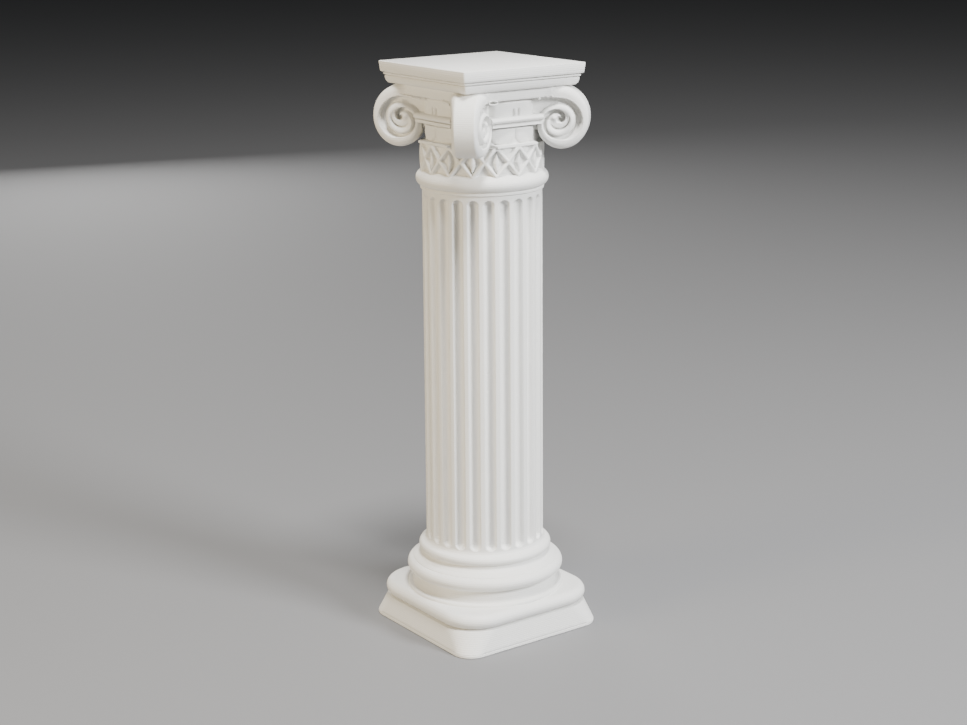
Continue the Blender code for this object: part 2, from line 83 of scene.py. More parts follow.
# Distances of the capital's ornaments from the axis, and their sizes along a face
CORE_RADIUS = 10.8
CANALIS_FACE = 12.72
CANALIS_BLEND = 0.95
CANALIS_ROUNDING = 0.35
FACE_CURVE = 25.0
RING_FACE = 12.25
FILLET_FACE = 12.15
FILLET_HALF_LENGTH = 6.2
BEAD_GROUND = 11.6
BEAD_RISE = 0.85
BEAD_HALF_HEIGHT = 0.65
BEAD_HALF_LENGTH = 6.4
LOBE_GROUND = 11.15
LOBE_RISE = 0.62
LOBE_MIDDLE = 2.72
LOBE_HALF_WIDTH = 2.75
LOBE_POWER = 2.6
EGG_RISE = 0.9
EGG_HALF_WIDTH = 5.4
EGG_CORNER = 1.7
SLIT_PLACE = 0.62
SLIT_HALF_WIDTH = 0.17
SLIT_DEPTH = 0.8

# The camera and the lights stand round the corner between the -X and -Y faces
VIEW_TURN = math.radians(-36.0)
FLOOR_HALF = 3.0


# Meshes


def smooth_step(low, high, value):
    t = np.clip((np.asarray(value, float) - low) / (high - low), 0.0, 1.0)
    return t * t * (3.0 - 2.0 * t)


def grid_faces(rows, columns, closed):
    """Quads of a grid of points, row by row. A closed grid joins its last column to its first."""
    faces = []
    for i in range(rows - 1):
        for j in range(columns if closed else columns - 1):
            k = (j + 1) % columns
            here = i * columns
            above = here + columns
            faces.append((here + j, here + k, above + k, above + j))
    return faces


def make_piece(name, points, faces, crease=35.0):
    """A smooth-shaded object at the origin, from points in millimetres."""
    mesh = bpy.data.meshes.new(name)
    mesh.from_pydata([tuple(point) for point in np.asarray(points, float) * MM], [], faces)
    mesh.validate()
    mesh.shade_smooth()
    mesh.set_sharp_from_angle(angle=math.radians(crease))
    piece = bpy.data.objects.new(name, mesh)
    bpy.context.scene.collection.objects.link(piece)
    return piece


def revolve(name, profile, steps=240):
    """A turned shape from (radius, z) points, bottom to top."""
    points = []
    for radius, z in profile:
        for i in range(steps):
            angle = 2 * math.pi * i / steps
            points.append((radius * math.cos(angle), radius * math.sin(angle), z))
    return make_piece(name, points, grid_faces(len(profile), steps, True))


def arc(centre, radius, start, end, steps):
    """Points of an arc in (radius, z), angles in degrees."""
    angles = np.radians(np.linspace(start, end, steps + 1))
    return [(centre[0] + radius * math.cos(a), centre[1] + radius * math.sin(a)) for a in angles]


def smooth_between(values, place):
    """A smooth curve through evenly spaced values, at a place counted in them."""
    last = len(values) - 1
    i = min(int(place), last - 1)
    t = place - i
    p0, p1, p2, p3 = (values[min(max(k, 0), last)] for k in (i - 1, i, i + 1, i + 2))
    bend = 2 * p0 - 5 * p1 + 4 * p2 - p3
    turn = 3 * p1 - p0 - 3 * p2 + p3
    return 0.5 * (2 * p1 + (p2 - p0) * t + bend * t * t + turn * t**3)


def curve_through(points, steps):
    """A smooth curve through points of two numbers each."""
    points = np.array(points, float)
    spans = len(points) - 1
    return [tuple(smooth_between(points, place)) for place in np.linspace(0, spans, spans * steps + 1)]


def square_ring(half, corner, z, corner_steps, side_steps):
    """Points of a square with round corners, with extra points along its sides."""
    points = []
    for k in range(4):
        middle = math.pi / 4 + k * QUARTER
        reach = (half - corner) * math.sqrt(2)
        cx = reach * math.cos(middle)
        cy = reach * math.sin(middle)
        for i in range(corner_steps + 1):
            angle = middle - math.pi / 4 + QUARTER * i / corner_steps
            points.append((cx + corner * math.cos(angle), cy + corner * math.sin(angle), z))
        next_angle = middle + math.pi / 4
        start = np.array(points[-1])
        end = np.array((-cy + corner * math.cos(next_angle), cx + corner * math.sin(next_angle), z))
        for i in range(1, side_steps):
            points.append(tuple(start + (end - start) * i / side_steps))
    return points


def square_loft(name, sections, corner_steps, side_steps, crease=35.0):
    """A closed shape through round-cornered squares, bottom to top: (half width, corner radius, z)."""
    points = []
    for half, corner, z in sections:
        points += square_ring(half, corner, z, corner_steps, side_steps)
    columns = 4 * (corner_steps + side_steps)
    faces = grid_faces(len(sections), columns, True)
    faces.append(tuple(range(columns))[::-1])
    last = (len(sections) - 1) * columns
    faces.append(tuple(range(last, last + columns)))
    return make_piece(name, points, faces, crease)


# Geometry node helpers


def node_tree(name, inputs):
    """A geometry tree with named inputs, and its input and output nodes."""
    tree = bpy.data.node_groups.new(name, "GeometryNodeTree")
    tree.interface.new_socket("Geometry", in_out="INPUT", socket_type="NodeSocketGeometry")
    for label, (kind, value) in inputs.items():
        socket = tree.interface.new_socket(label, in_out="INPUT", socket_type=kind)
        socket.default_value = value
    tree.interface.new_socket("Geometry", in_out="OUTPUT", socket_type="NodeSocketGeometry")
    entry = tree.nodes.new("NodeGroupInput")
    result = tree.nodes.new("NodeGroupOutput")
    return tree, entry, result


def math_node(tree, operation, *values):
    """A sum on sockets or plain numbers, and its result's socket."""
    node = tree.nodes.new("ShaderNodeMath")
    node.operation = operation
    for socket, value in zip(node.inputs, values):
        if isinstance(value, (int, float)):
            socket.default_value = value
        else:
            tree.links.new(value, socket)
    return node.outputs[0]


def run_tree(piece, tree, values):
    """Puts the tree on the piece, sets its inputs, and keeps the result as a plain mesh."""
    modifier = piece.modifiers.new(tree.name, "NODES")
    modifier.node_group = tree
    for item in tree.interface.items_tree:
        if item.item_type == "SOCKET" and item.in_out == "INPUT" and item.name in values:
            modifier[item.identifier] = values[item.name]
    graph = bpy.context.evaluated_depsgraph_get()
    graph.update()
    mesh = bpy.data.meshes.new_from_object(piece.evaluated_get(graph))
    piece.modifiers.remove(modifier)
    piece.data = mesh
    mesh.name = piece.name
    return piece


def round_copies_tree(material):
    """Turned copies of a shape about the column's axis, merged where they meet."""
    tree, entry, result = node_tree(
        "copies_round_axis", {"Copies": ("NodeSocketInt", 4), "Merge": ("NodeSocketFloat", 0.00001)}
    )
    new = tree.nodes.new
    link = tree.links.new
    line = new("GeometryNodeMeshLine")
    link(entry.outputs["Copies"], line.inputs["Count"])
    line.inputs["Offset"].default_value = (0.0, 0.0, 0.0)
    index = new("GeometryNodeInputIndex")
    turn = math_node(tree, "DIVIDE", index.outputs[0], entry.outputs["Copies"])
    angle = math_node(tree, "MULTIPLY", turn, 2 * math.pi)
    combine = new("ShaderNodeCombineXYZ")
    link(angle, combine.inputs["Z"])
    instances = new("GeometryNodeInstanceOnPoints")
    link(line.outputs[0], instances.inputs["Points"])
    link(entry.outputs["Geometry"], instances.inputs["Instance"])
    link(combine.outputs[0], instances.inputs["Rotation"])
    real = new("GeometryNodeRealizeInstances")
    link(instances.outputs[0], real.inputs[0])
    merge = new("GeometryNodeMergeByDistance")
    link(real.outputs[0], merge.inputs["Geometry"])
    link(entry.outputs["Merge"], merge.inputs["Distance"])
    paint = new("GeometryNodeSetMaterial")
    paint.inputs["Material"].default_value = material
    link(merge.outputs[0], paint.inputs["Geometry"])
    link(paint.outputs[0], result.inputs[0])
    return tree


def flute_tree(material):
    """Upright round-ended flutes sunk into a plain cylinder wall."""
    tree, entry, result = node_tree(
        "flutes",
        {
            "Count": ("NodeSocketInt", FLUTES),
            "Half Angle": ("NodeSocketFloat", 0.0855),
            "Depth": ("NodeSocketFloat", 0.0009),
            "Foot": ("NodeSocketFloat", 0.0196),
            "Top": ("NodeSocketFloat", 0.0935),
            "Radius": ("NodeSocketFloat", 0.0124),
            "Lip": ("NodeSocketFloat", 0.12),
        },
    )
    new = tree.nodes.new
    link = tree.links.new
    sizes = entry.outputs

    def sum_of(operation, *values):
        return math_node(tree, operation, *values)

    position = new("GeometryNodeInputPosition")
    split = new("ShaderNodeSeparateXYZ")
    link(position.outputs[0], split.inputs[0])
    height = split.outputs["Z"]
    # Across a flute, 0 at its middle and 1 at its edge
    angle = sum_of("ARCTAN2", split.outputs["Y"], split.outputs["X"])
    half_pitch = sum_of("MULTIPLY", sum_of("DIVIDE", 2 * math.pi, sizes["Count"]), 0.5)
    local = sum_of("WRAP", angle, half_pitch, sum_of("MULTIPLY", half_pitch, -1.0))
    across = sum_of("ABSOLUTE", sum_of("DIVIDE", local, sizes["Half Angle"]))
    # Past the straight part of a flute, in the same measure
    half_width = sum_of("MULTIPLY", sizes["Half Angle"], sizes["Radius"])
    over = sum_of("SUBTRACT", height, sum_of("SUBTRACT", sizes["Top"], half_width))
    under = sum_of("SUBTRACT", sum_of("ADD", sizes["Foot"], half_width), height)
    past_end = sum_of("MAXIMUM", sum_of("MAXIMUM", over, under), 0.0)
    up = sum_of("DIVIDE", past_end, half_width)
    square = sum_of("ADD", sum_of("MULTIPLY", across, across), sum_of("MULTIPLY", up, up))
    distance = sum_of("SQRT", square)
    # A round hollow with a soft lip
    hollow = sum_of("SQRT", sum_of("MAXIMUM", sum_of("SUBTRACT", 1.0, square), 0.0))
    soft = new("ShaderNodeMapRange")
    soft.interpolation_type = "SMOOTHSTEP"
    link(distance, soft.inputs["Value"])
    link(sum_of("SUBTRACT", 1.0, sizes["Lip"]), soft.inputs["From Min"])
    link(sum_of("ADD", 1.0, sizes["Lip"]), soft.inputs["From Max"])
    soft.inputs["To Min"].default_value = 1.0
    soft.inputs["To Max"].default_value = 0.0
    floor = sum_of("ADD", sum_of("MULTIPLY", hollow, 0.72), 0.28)
    depth = sum_of("MULTIPLY", sum_of("MULTIPLY", floor, soft.outputs[0]), sizes["Depth"])
    flat = new("ShaderNodeCombineXYZ")
    link(split.outputs["X"], flat.inputs["X"])
    link(split.outputs["Y"], flat.inputs["Y"])
    unit = new("ShaderNodeVectorMath")
    unit.operation = "NORMALIZE"
    link(flat.outputs[0], unit.inputs[0])
    scale = new("ShaderNodeVectorMath")
    scale.operation = "SCALE"
    link(unit.outputs[0], scale.inputs[0])
    link(sum_of("MULTIPLY", depth, -1.0), scale.inputs["Scale"])
    move = new("GeometryNodeSetPosition")
    link(entry.outputs["Geometry"], move.inputs["Geometry"])
    link(scale.outputs[0], move.inputs["Offset"])
    real = new("GeometryNodeRealizeInstances")
    link(move.outputs[0], real.inputs[0])
    paint = new("GeometryNodeSetMaterial")
    paint.inputs["Material"].default_value = material
    link(real.outputs[0], paint.inputs["Geometry"])
    link(paint.outputs[0], result.inputs[0])
    return tree


# Material


def printed_plastic(name, color, layers):
    """Matt white plastic laid down in fine level strands."""
    material = bpy.data.materials.new(name)
    material.use_nodes = True
    nodes = material.node_tree.nodes
    link = material.node_tree.links.new
    shader = nodes["Principled BSDF"]
    shader.inputs["Roughness"].default_value = 0.5
    shader.inputs["IOR"].default_value = 1.46
    shader.inputs["Specular IOR Level"].default_value = 0.35
    place = nodes.new("ShaderNodeTexCoord")
    blotches = nodes.new("ShaderNodeTexNoise")
    blotches.inputs["Scale"].default_value = 160.0
    blotches.inputs["Detail"].default_value = 4.0
    link(place.outputs["Object"], blotches.inputs["Vector"])
    tint = nodes.new("ShaderNodeMix")
    tint.data_type = "RGBA"
    tint.inputs["A"].default_value = (*[c * 0.965 for c in color], 1.0)
    tint.inputs["B"].default_value = (*color, 1.0)
    link(blotches.outputs["Fac"], tint.inputs["Factor"])
    link(tint.outputs["Result"], shader.inputs["Base Color"])
    strands = nodes.new("ShaderNodeTexWave")
    strands.wave_type = "BANDS"
    strands.bands_direction = "Z"
    strands.wave_profile = "SIN"
    strands.inputs["Scale"].default_value = 785.0
    strands.inputs["Distortion"].default_value = 0.6
    strands.inputs["Detail"].default_value = 1.0
    strands.inputs["Detail Scale"].default_value = 0.4
    link(place.outputs["Object"], strands.inputs["Vector"])
    grain = nodes.new("ShaderNodeTexNoise")
    grain.inputs["Scale"].default_value = 2600.0
    grain.inputs["Detail"].default_value = 3.0
    link(place.outputs["Object"], grain.inputs["Vector"])
    fine = nodes.new("ShaderNodeBump")
    fine.inputs["Strength"].default_value = 0.45
    fine.inputs["Distance"].default_value = 0.00006
    link(grain.outputs["Fac"], fine.inputs["Height"])
    ridges = nodes.new("ShaderNodeBump")
    ridges.inputs["Strength"].default_value = layers
    ridges.inputs["Distance"].default_value = 0.00004
    link(strands.outputs["Fac"], ridges.inputs["Height"])
    link(fine.outputs[0], ridges.inputs["Normal"])
    link(ridges.outputs[0], shader.inputs["Normal"])
    return material


# Base


def make_plinth():
    """The square foot: a low lip, a battered block and a roll, each with round corners."""
    block_top = 5.25
    roll_middle = 6.9
    roll_radius = 1.6
    sections = [(17.75, 4.1, 0.0), (17.95, 4.3, 0.2), (17.95, 4.3, 0.62), (17.88, 4.3, 0.7)]
    # The block's battered sides
    for i in range(9):
        t = i / 8
        sections.append((17.93 - 0.55 * t, 4.35 + 3.5 * t, 0.8 + (block_top - 1.0) * t))
    sections += [(17.15, 7.8, 5.16), (16.5, 7.3, 5.26), (16.4, 7.2, 5.4)]
    # The roll along its top
    for i in range(15):
        angle = math.radians(-75 + 165 * i / 14)
        out = roll_radius * (math.cos(angle) - 1)
        sections.append((17.8 + out, 8.6 + out, roll_middle + roll_radius * math.sin(angle)))
    sections.append((12.0, 4.0, PLINTH_TOP))
    return square_loft("plinth", sections, 16, 4)


def make_base_mouldings():
    """Disc, cavetto, lower torus, scotia, upper torus and the flare under the shaft."""
    profile = [(16.0, PLINTH_TOP - 0.6), (16.62, PLINTH_TOP - 0.2), (16.6, PLINTH_TOP + 0.05)]
    profile += arc((16.1, PLINTH_TOP + 0.15), 0.5, 10, 60, 4)
    profile += curve_through(
        [(15.65, 9.15), (15.2, 9.75), (14.9, 10.5), (14.72, 11.2), (14.7, LOWER_TORUS_FOOT)], 5
    )
    profile += arc((15.2, (LOWER_TORUS_FOOT + LOWER_TORUS_TOP) / 2), 1.45, -80, 75, 20)
    profile += [(15.35, LOWER_TORUS_TOP - 0.02), (15.3, LOWER_TORUS_TOP + 0.12)]
    profile += curve_through(
        [(15.1, 14.85), (14.3, 15.3), (13.75, 15.8), (13.5, 16.25), (13.45, 16.45)], 5
    )
    profile += arc((13.1, (UPPER_TORUS_FOOT + UPPER_TORUS_TOP) / 2), 1.0, -72, 72, 14)
    profile += curve_through([(13.1, 18.5), (12.78, 18.75), (12.58, 19.1), (12.5, SHAFT_FOOT)], 4)
    profile.append((12.2, SHAFT_FOOT + 0.3))
    return revolve("base_mouldings", profile)


# Shaft


def make_shaft(material):
    """A plain tapering wall, with rows close together where the flutes end, then fluted."""
    foot_radius = 12.5
    top_radius = 12.33
    columns = FLUTES * 20
    foot_rows = list(np.linspace(18.9, 21.2, 24))
    long_rows = list(np.linspace(22.5, 91.0, 24))
    top_rows = list(np.linspace(92.0, 93.9, 22))
    rows = foot_rows + long_rows + top_rows + [94.2, SHAFT_TOP]
    points = []
    for z in rows:
        radius = foot_radius - (foot_radius - top_radius) * (z - SHAFT_FOOT) / (SHAFT_TOP - SHAFT_FOOT)
        for j in range(columns):
            angle = 2 * math.pi * j / columns
            points.append((radius * math.cos(angle), radius * math.sin(angle), z))
    shaft = make_piece("fluted_shaft", points, grid_faces(len(rows), columns, True), 50.0)
    run_tree(
        shaft,
        flute_tree(material),
        {
            "Count": FLUTES, "Half Angle": math.radians(4.95), "Depth": 1.25 * MM, "Foot": 19.55 * MM,
            "Top": 93.55 * MM, "Radius": 12.42 * MM, "Lip": 0.07,
        },
    )
    return shaft


def make_neck():
    """The ring and the torus that end the shaft."""
    profile = [(12.2, SHAFT_TOP - 0.25), (12.5, SHAFT_TOP - 0.12), (12.68, SHAFT_TOP)]
    profile += [(12.72, SHAFT_TOP + 0.25), (12.66, SHAFT_TOP + 0.45), (12.55, NECK_TORUS_FOOT)]
    profile += arc((12.02, (NECK_TORUS_FOOT + DRUM_FOOT) / 2), 1.6, -70, 72, 20)
    profile.append((12.1, DRUM_FOOT + 0.05))
    return revolve("neck_torus", profile)


def make_lattice(material):
    """One bay of the necking, a leaf within a diamond of ribs, and its copies round the drum."""
    columns = 31
    rows = 66
    crease = 60.0
    half = math.pi / LATTICE_BAYS
    angles = np.linspace(-half, half, columns)
    heights = np.linspace(DRUM_FOOT - 0.15, DRUM_TOP + 0.05, rows)
    middle = (DRUM_FOOT + DRUM_TOP) / 2
    half_height = (DRUM_TOP - DRUM_FOOT) / 2
    half_span = half * LATTICE_RADIUS
    arch_middle = half_height - 1.15
    arch_radius = 0.85
    points = []
    for z in heights:
        for angle in angles:
            x = abs(angle) * LATTICE_RADIUS
            y = z - middle
            # Straight ribs from the foot, bent into a round arch over the leaf
            slope_length = math.hypot(half_span, half_height)
            straight = abs(x * half_height + abs(y) * half_span - half_span * half_height) / slope_length
            rib = straight
            if y > arch_middle:
                rib = min(straight, abs(math.hypot(x, y - arch_middle) - arch_radius))
            crossing = math.hypot(x - half_span, y)
            rise = RIB_RISE * (1 - smooth_step(0.2, 0.56, rib))
            rise = max(rise, CROSSING_RISE * (1 - smooth_step(0.3, 0.75, crossing)))
            # The leaf, pointed at both ends and highest along its spine
            tip = 1.0 - min(abs(y + 0.1) / 1.95, 1.0)
            leaf_half = 0.72 * math.sqrt(max(tip, 0.0)) * (0.65 + 0.35 * tip)
            if leaf_half > 0:
                inside = 1 - min(x / leaf_half, 1.0)
                rise = max(rise, LEAF_RISE * float(smooth_step(0.0, 0.4, inside)) + LEAF_SPINE * inside)
            edge = min(z - DRUM_FOOT, DRUM_TOP - z)
            rise = max(rise, LATTICE_EDGE_RISE * (1 - float(smooth_step(0.0, 0.3, max(edge, 0.0)))))
            radius = LATTICE_GROUND + rise
            points.append((radius * math.cos(angle), radius * math.sin(angle), z))
    bay = make_piece("lattice_necking", points, grid_faces(rows, columns, False), crease)
    run_tree(bay, round_copies_tree(material), {"Copies": LATTICE_BAYS, "Merge": 0.000005})
    bay.data.set_sharp_from_angle(angle=math.radians(crease))
    return bay


# Capital


def rounded_box_distance(x, y, half_x, half_y, corner):
    """Distance from the outline of a round-cornered box, below 0 inside it."""
    qx = abs(x) - (half_x - corner)
    qy = abs(y) - (half_y - corner)
    return math.hypot(max(qx, 0.0), max(qy, 0.0)) + min(max(qx, qy), 0.0) - corner


def upper_shoulder(x, y, face):
    """How far a volute's upper edge is rounded off where it comes out from under the abacus."""
    share = min(max(SCROLL_RIM[0] - y, 0.0) / SHOULDER, 1.0)
    taper = float(smooth_step(-1.8, 0.0, x))
    return taper * (face - HALF_EDGE) * (1 - math.sqrt(max(1 - (1 - share) ** 2, 0.0)))


def capital_face_height(t, z):
    """Distance of the ornament's surface from the axis, between two volutes."""
    half_core = 10.9 + 0.5 * float(smooth_step(4.8, 6.0, abs(t)))
    out = math.sqrt(half_core**2 - t * t) if abs(t) < half_core else 0.0
    # The canalis, which runs into the faces of the volutes in a smooth curve
    if z >= CANALIS_FOOT:
        slope = (1 - SPLAY) / (1 + SPLAY)
        wing = (HALF_FACE + SPLAY * SPLAY_LIMIT) * math.sqrt(2) / (1 + SPLAY) + slope * abs(t)
        near = max(CANALIS_BLEND - abs(wing - CANALIS_FACE), 0.0)
        out = max(wing, CANALIS_FACE) + near * near / (4 * CANALIS_BLEND)
        # Its ends sink just under the volute's own face
        out -= 0.05 * float(smooth_step(0.8, CANALIS_BLEND, wing - CANALIS_FACE))
        x = (out + abs(t)) / math.sqrt(2) - SCROLL_REACH
        out -= math.sqrt(2) * upper_shoulder(x, z - SCROLL_HEIGHT, (out - abs(t)) / math.sqrt(2))
        edge = min((z - CANALIS_FOOT) / CANALIS_ROUNDING, 1.0)
        rounding = CANALIS_ROUNDING * (1 - math.sqrt(max(1 - (1 - edge) ** 2, 0.0)))
        # The lowest row lies further in and makes the underside
        underside = 0.9 * float(z < CANALIS_FOOT + 0.01)
        return out - rounding - underside
    # Lobes and egg panels curve back towards the volutes
    sag = t * t / FACE_CURVE
    # Two lobes
    if RING_TOP - 0.2 <= z <= LOBE_TOP + 0.3:
        side = abs(t) - LOBE_MIDDLE
        below = max(RING_TOP + 2.0 - z, 0.0)
        reach = (abs(side) / LOBE_HALF_WIDTH) ** LOBE_POWER + (below / 2.05) ** LOBE_POWER
        out = max(out, (LOBE_GROUND - sag) * (1 - float(smooth_step(5.4, 5.6, abs(t)))))
        if reach < 1:
            out = max(out, LOBE_GROUND - sag + LOBE_RISE * (1 - reach) ** 0.4)
        # A shadow groove under the fillet
        if z > LOBE_TOP - 0.2:
            out = min(out, 11.1 - sag)
    # Ring with pointed tips
    if z < RING_TOP + 0.02:
        ends = 1 - float(smooth_step(5.0, 5.75, abs(t)))
        out = max(out, RING_FACE * ends)
    # Fillet and bead
    if LOBE_TOP + 0.08 <= z < BEAD_FOOT - 0.08 and abs(t) < FILLET_HALF_LENGTH:
        out = max(out, FILLET_FACE)
    elif LOBE_TOP <= z < BEAD_FOOT and abs(t) < FILLET_HALF_LENGTH:
        out = max(out, BEAD_GROUND)
    if BEAD_FOOT <= z < EGG_FOOT and abs(t) < BEAD_HALF_LENGTH:
        y = (z - (BEAD_FOOT + EGG_FOOT) / 2) / BEAD_HALF_HEIGHT
        out = max(out, BEAD_GROUND + BEAD_RISE * math.sqrt(max(1 - y * y, 0.0)))
    # Egg panel with round upper corners, and its dart
    if z >= EGG_FOOT:
        half_height = (CANALIS_FOOT - EGG_FOOT + 1.7) / 2
        y = z - EGG_FOOT + 1.5 - half_height
        distance = rounded_box_distance(t, y, EGG_HALF_WIDTH, half_height, EGG_CORNER)
        panel = CORE_RADIUS - sag + EGG_RISE * math.sqrt(float(smooth_step(0.0, 0.9, -distance)))
        if distance < 0:
            cushion = 0.2 * math.cos(min(abs(abs(t) - 2.8) / 2.3, 1.0) * math.pi / 2)
            out = max(out, panel + cushion)
            if z < EGG_FOOT + 2.4:
                fade = 1 - float(smooth_step(EGG_FOOT + 0.9, EGG_FOOT + 1.7, z))
                slit = math.exp(-(((abs(t) - SLIT_PLACE) / SLIT_HALF_WIDTH) ** 2))
                out += fade * (0.14 * math.exp(-((t / 0.3) ** 2)) - SLIT_DEPTH * slit)
    return out


def make_capital_faces(material):
    """The ornaments of one face, and their copies on the other three."""
    columns = 147
    half_span = 8.8
    crease = 40.0
    across = np.linspace(-half_span, half_span, columns)
    up = list(np.linspace(DRUM_TOP - 0.02, CANALIS_FOOT - 0.02, 118)) + [CANALIS_FOOT]
    up += list(CANALIS_FOOT + np.array([0.012, 0.03, 0.06, 0.11, 0.18, 0.27, 0.36, 0.8, 1.4, 1.95, 2.1]))
    rows = len(up)
    points = []
    for z in up:
        for t in across:
            points.append((capital_face_height(t, z), t, z))
    face = make_piece("capital_faces", points, grid_faces(rows, columns, False), crease)
    run_tree(face, round_copies_tree(material), {"Copies": 4, "Merge": 0.000005})
    face.data.set_sharp_from_angle(angle=math.radians(crease))
    return face


def make_capital_core():
    """The round drum behind the ornaments."""
    profile = [(12.3, DRUM_TOP), (CORE_RADIUS, DRUM_TOP + 0.02), (CORE_RADIUS, CANALIS_FOOT + 0.4)]
    return revolve("capital_core", profile, 120)


def make_abacus():
    """The square slab, from the block under the ovolo to its flat top."""
    sections = [
        (11.6, 0.2, CANALIS_FOOT + 0.15), (12.3, 0.25, CANALIS_FOOT + 0.05),
        (12.5, 0.3, CANALIS_FOOT + 0.3), (12.5, 0.3, OVOLO_FOOT - 0.12),
        (12.45, 0.25, OVOLO_FOOT + 0.02), (13.2, 0.3, OVOLO_FOOT + 0.08),
    ]
    for i in range(9):
        angle = QUARTER * i / 8
        sections.append((13.36 + 0.84 * math.sin(angle), 0.35, 117.0 - 1.5 * math.cos(angle)))
    sections += [
        # Shadow groove, fillet and shadow groove
        (14.15, 0.3, 117.08), (13.9, 0.25, 117.14), (13.9, 0.25, 117.2),
        (14.3, 0.3, 117.26), (14.38, 0.3, 117.34), (14.4, 0.3, 117.55), (14.3, 0.3, 117.64),
        (14.05, 0.25, 117.68), (14.05, 0.25, 117.76),
        # Fascia
        (14.66, 0.3, 117.82), (14.8, 0.35, 117.92), (14.86, 0.35, 118.1),
        (15.03, 0.35, TOP - 0.25), (15.0, 0.3, TOP - 0.08), (14.88, 0.2, TOP),
    ]
    return square_loft("abacus", sections, 4, 2, 38.0)


def table(values, place):
    """A value of a row, read smoothly between its entries and held at its ends."""
    return smooth_between(values, min(max(place, 0.0), float(len(values) - 1)))


def groove_depth(radius, quarters):
    """How far the spiral groove is sunk at this place: steep outside, easing off inside."""
    depth = 0.0
    for turn in range(2):
        q = quarters + 4 * turn
        if q > 6.0:
            continue
        half = table(GROOVE_HALF_WIDTH, 2 * q)
        across = (radius - table(GROOVE_RADIUS, 2 * q)) / half
        wall = 0.12 + 0.4 * float(smooth_step(0.6, 1.3, q) * (1 - smooth_step(1.5, 2.0, q)))
        outer = 1 - float(smooth_step(1 - wall / half, 1 + wall / half, across))
        easing = 0.95 - 0.65 * float(smooth_step(0.9, 1.9, q))
        inner = float(smooth_step(-1 - 0.14 / half, -1 + easing / half, across))
        fade = 1.0 if q < 5.6 else (6.0 - q) / 0.4
        depth = max(depth, fade * table(GROOVE_DEPTH, 2 * q) * outer * inner)
    # The thin crescent that splits the second turn
    q = quarters + 4.0
    if SPLIT_START < q < SPLIT_END:
        share = (q - SPLIT_START) / (SPLIT_END - SPLIT_START)
        middle = table(SPLIT_RADIUS, 2 * share)
        fade = min(1.0, 4 * share, 4 * (1 - share))
        depth = max(depth, 0.75 * fade * math.exp(-(((radius - middle) / 0.17) ** 2)))
    # The hollow in the middle, where the groove ends
    angle = quarters * QUARTER
    away = math.hypot(radius * math.sin(angle) - 0.08, radius * math.cos(angle) - 0.12)
    return max(depth, 1.5 * (1 - float(smooth_step(0.2, 0.75, away))))


def ridge_rounding(radius, quarters):
    """The second turn is a rounded ridge, highest along its middle."""
    if quarters < 3.0:
        ridge = table(RIDGE_RADIUS, 2 * quarters)
    else:
        ridge = table(SCROLL_RIM, quarters) - 0.75
    return 0.4 * min(((radius - ridge) / 0.75) ** 2, 1.0)


def scroll_half_thickness(out, up):
    """Half the thickness of a volute at a place in its own plane, measured from the axis."""
    x = out - SCROLL_REACH
    y = up - SCROLL_HEIGHT
    radius = math.hypot(x, y)
    quarters = (math.atan2(x, y) / QUARTER) % 4.0
    face = HALF_FACE + SPLAY * (SPLAY_LIMIT - out)
    rim = table(SCROLL_RIM, quarters)
    ground = face - GROUND_DEPTH
    height = ground
    # The canalis, which runs level above the scroll
    if x < 0 and y > 0:
        below = 1 - float(smooth_step(CANALIS_EDGE - 0.1, CANALIS_EDGE + 0.2, y))
        height = face - GROUND_DEPTH * below
    # The round end of the ridge, beside the hollow in the middle
    blob = 0.4 * math.exp(-(((x + 1.0) ** 2 + (y - 0.45) ** 2) / 0.25))
    if radius <= rim + 1e-6:
        s = min(max(rim - radius, 0.0) / SHOULDER, 1.0)
        foot = HALF_EDGE
        if quarters > 3.0:
            foot += (ground - foot) * (quarters - 3.0)
        shoulder = foot + (face - foot) * math.sqrt(max(1 - (1 - s) ** 2, 0.0))
        scroll = shoulder - groove_depth(radius, quarters) + blob
        inside = table(GROOVE_RADIUS, 2 * quarters) - radius
        if quarters < 3.0:
            scroll -= ridge_rounding(radius, quarters) * float(smooth_step(0.0, 0.25, inside))
        else:
            scroll -= ridge_rounding(radius, quarters)
        height = max(height, scroll) if quarters > 3.0 else scroll
    if x < 0 and y > 0:
        # Under the canalis the ground slides into the groove without a step
        along = 1 - float(smooth_step(CANALIS_EDGE - 0.15, CANALIS_EDGE + 0.15, y))
        ease = float(smooth_step(2.9, 3.9, radius))
        level = 1.3 * along * ease
        if radius < 3.1:
            level = max(level, groove_depth(radius, min(quarters, 3.999)))
            height_in = face - level - ridge_rounding(radius, 0.0)
        else:
            height_in = face - level - ridge_rounding(radius, 0.0) * (1 - ease)
        blend = float(smooth_step(-2.2, -0.05, x))
        height = height * (1 - blend) + (height_in + blob) * blend - upper_shoulder(x, y, face)
    return height


def volute_outline(turns):
    """The rim of a volute with its root in the drum: how far out, and the direction, at each step."""
    root = 10.2
    top = OVOLO_FOOT + 0.08
    outline = []
    for i in range(turns):
        quarters = 4.0 * i / turns
        angle = quarters * QUARTER
        direction = (math.sin(angle), math.cos(angle))
        if quarters <= 3.0:
            reach = table(SCROLL_RIM, quarters)
            if quarters > 2.7:
                goal = SCROLL_REACH - root
                reach += (goal - reach) * float(smooth_step(2.7, 3.0, quarters))
        else:
            reach = (SCROLL_REACH - root) / max(-direction[0], 1e-6)
            if direction[1] > 1e-6:
                reach = min(reach, (top - SCROLL_HEIGHT) / direction[1])
        outline.append((reach, direction))
    return outline


